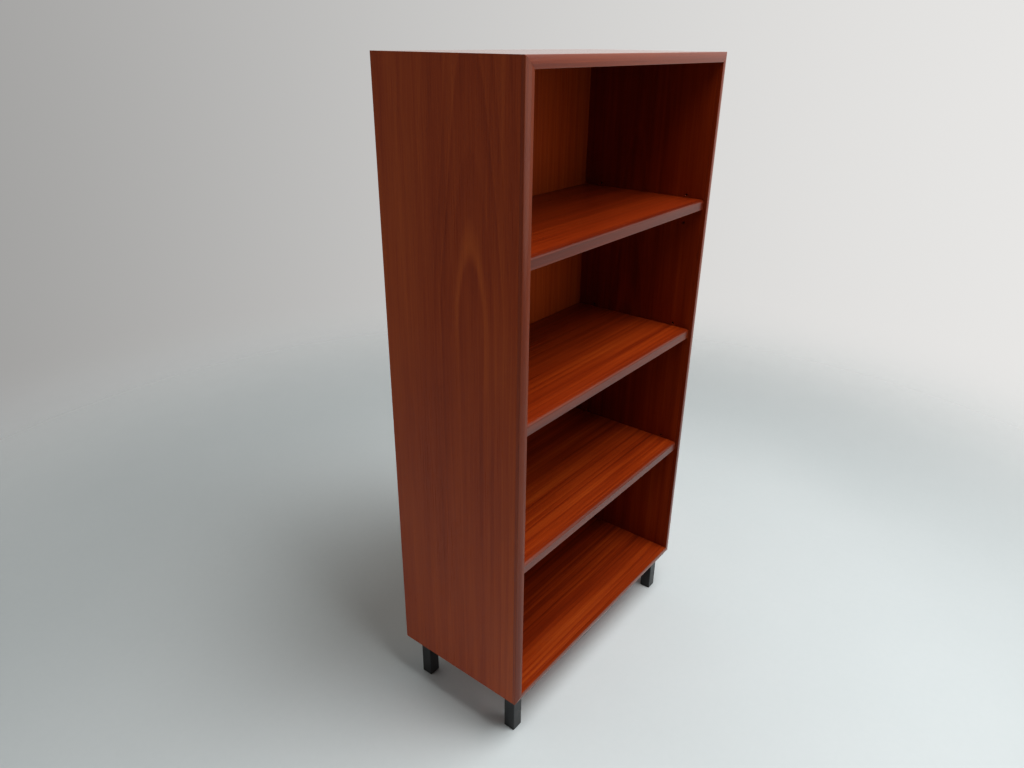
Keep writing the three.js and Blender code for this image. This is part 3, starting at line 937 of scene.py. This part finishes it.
def make_legs():
    steel = black_lacquer("black lacquered steel")
    plastic = moulded_plastic("black plastic")
    for corner, (in_x, in_y) in CORNERS.items():
        middle = middle_of(f"leg_{corner}_glide")
        foot = (middle.x, middle.y, 0)
        leg = placed(mirrored(leg_mesh(), in_x, in_y), foot)
        for hole in leg_screw_holes(corner):
            leg = combined(leg, hole, "DIFFERENCE")
        piece(f"steel_{corner}", eased(leg, LEG_ARRIS), "case", [steel], [f"leg_{corner}"])
        weld = placed(mirrored(weld_mesh(), in_x, in_y), foot)
        piece(f"weld_{corner}", weld, "case", [steel])
        glide = placed(mirrored(glide_mesh(), in_x, in_y), foot)
        piece(f"glide_{corner}", eased(glide, LEG_ARRIS), "case", [plastic],
              [f"leg_{corner}_glide"])


def make_screws():
    upright_zinc = turned_metal("zinc plate, legs", *ZINC, "Z", 0.38)
    level_zinc = turned_metal("zinc plate, back", *ZINC, "Y", 0.38)
    for number, place in enumerate(back_screw_places(), 1):
        fixing = placed(screw_mesh(BACK_SCREW, 37 * number), place, -90)
        piece(f"screw_back_{number}", fixing, "case", [level_zinc],
              [f"back_screw_{number}"])
    for corner in CORNERS:
        for number, place in enumerate(leg_screw_places(corner), 1):
            fixing = placed(screw_mesh(LEG_SCREW, 53 * number), place, 180)
            piece(f"screw_{corner}_{number}", fixing, "case", [upright_zinc],
                  [f"leg_{corner}_screw_{number}"])


# ---- Floor, light and camera ----

FLOOR_SIZE = 16.0
FLOOR_FADE = (0.9, 3.1)  # distances from the bookcase between which the floor fades out
CAMERA_AT = (-1.27757, -0.87725, 1.42620)
CAMERA_YAW = 51.774  # degrees from +Y towards +X
CAMERA_DOWN = 24.906
CAMERA_ROLL = -0.634
FOCAL_LENGTH = 26.135  # on a sensor 36 mm wide


def make_floor():
    half = FLOOR_SIZE / 2
    floor = as_object(box_mesh((-half, -half, -0.1), (half, half, 0)), "floor")
    floor.data.materials.append(floor_paint("pale floor"))


class Sky:
    """The soft room round the bookcase: each glow is brighter towards one direction."""

    def __init__(self):
        self.world = bpy.data.worlds.new("soft room")
        self.world.use_nodes = True
        self.tree = self.world.node_tree
        self.tree.nodes.clear()
        self.towards = self.tree.nodes.new("ShaderNodeTexCoord").outputs["Generated"]

    def glow(self, direction, low, high, dark, bright):
        """From dark to bright as the view turns towards the direction, between two cosines."""
        facing = self.tree.nodes.new("ShaderNodeVectorMath")
        facing.operation = "DOT_PRODUCT"
        facing.inputs[1].default_value = Vector(direction).normalized()
        self.tree.links.new(self.towards, facing.inputs[0])
        ranged = self.tree.nodes.new("ShaderNodeMapRange")
        ranged.interpolation_type = "SMOOTHSTEP"
        self.tree.links.new(facing.outputs["Value"], ranged.inputs["Value"])
        for socket, value in zip(ranged.inputs[1:5], (low, high, dark, bright)):
            socket.default_value = value
        return ranged.outputs[0]

    def background(self, strength, colour):
        made = self.tree.nodes.new("ShaderNodeBackground")
        made.inputs["Color"].default_value = (*colour, 1)
        self.tree.links.new(strength, made.inputs["Strength"])
        return made.outputs[0]

    def added(self, first, second):
        total = self.tree.nodes.new("ShaderNodeMath")
        for socket, value in zip(total.inputs, (first, second)):
            self.tree.links.new(value, socket)
        return total.outputs[0]

    def finish(self, seen, cast):
        """The backdrop that is seen and reflected, and the light that is cast on matt surfaces."""
        path = self.tree.nodes.new("ShaderNodeLightPath")
        mixed = self.tree.nodes.new("ShaderNodeMixShader")
        self.tree.links.new(path.outputs["Is Diffuse Ray"], mixed.inputs[0])
        self.tree.links.new(seen, mixed.inputs[1])
        self.tree.links.new(cast, mixed.inputs[2])
        output = self.tree.nodes.new("ShaderNodeOutputWorld")
        self.tree.links.new(mixed.outputs[0], output.inputs[0])
        bpy.context.scene.world = self.world


def make_sky():
    sky = Sky()
    backdrop = sky.added(
        sky.glow((0.75, -0.66, 0), -1.2, 1.2, 0.20, 0.74), sky.glow((0.2, -0.98, 0), 0.5, 0.85, 0.0, -0.48)
    )
    walls = sky.added(
        sky.glow((-0.4, 0.92, 0), -0.1, 0.9, 0.03, 0.46), sky.glow((1, 0.3, 0), 0.2, 1.0, 0.0, 0.16)
    )
    sky.finish(sky.background(backdrop, (1.0, 0.99, 0.975)), sky.background(walls, (1.0, 0.98, 0.95)))


def make_lamp(name, azimuth, elevation, power, size=2.6, distance=3.0):
    """A round soft lamp. Azimuth is from the front towards the right, in degrees."""
    lamp = bpy.data.lights.new(name, "AREA")
    lamp.shape = "DISK"
    lamp.size = size
    lamp.energy = power
    made = bpy.data.objects.new(name, lamp)
    bpy.context.scene.collection.objects.link(made)
    turn, rise = math.radians(azimuth), math.radians(elevation)
    away = Vector((math.sin(turn) * math.cos(rise), -math.cos(turn) * math.cos(rise), math.sin(rise)))
    made.location = Vector((0, 0, 0.75)) + away * distance
    made.rotation_euler = (-away).to_track_quat("-Z", "Y").to_euler()
    made.visible_camera = False


def make_light():
    make_sky()
    make_lamp("window overhead", 14, 66, 90, size=2.2)
    make_lamp("window in front", 16, 12, 22)


def make_camera():
    yaw, down, roll = (math.radians(a) for a in (CAMERA_YAW, CAMERA_DOWN, CAMERA_ROLL))
    ahead = Vector((math.sin(yaw) * math.cos(down), math.cos(yaw) * math.cos(down), -math.sin(down)))
    level = Vector((math.cos(yaw), -math.sin(yaw), 0))
    below = ahead.cross(level)
    right = math.cos(roll) * level + math.sin(roll) * below
    up = math.sin(roll) * level - math.cos(roll) * below
    lens = bpy.data.cameras.new("camera")
    lens.lens = FOCAL_LENGTH
    lens.sensor_width = 36
    lens.clip_start = 0.01
    camera = bpy.data.objects.new("camera", lens)
    bpy.context.scene.collection.objects.link(camera)
    turn = Matrix((right, up, -ahead)).transposed().to_4x4()
    camera.matrix_world = Matrix.Translation(CAMERA_AT) @ turn
    bpy.context.scene.camera = camera


make_camera()
make_case()
make_back()
make_tongues()
for shelf_name, shelf_looks in SHELF_LOOKS.items():
    make_shelf(shelf_name, shelf_looks)
make_pins()
make_legs()
make_screws()
make_floor()
make_light()
bpy.context.scene.view_settings.view_transform = "Standard"
bpy.context.scene.view_settings.look = "Medium High Contrast"

bpy.context.view_layer.update()
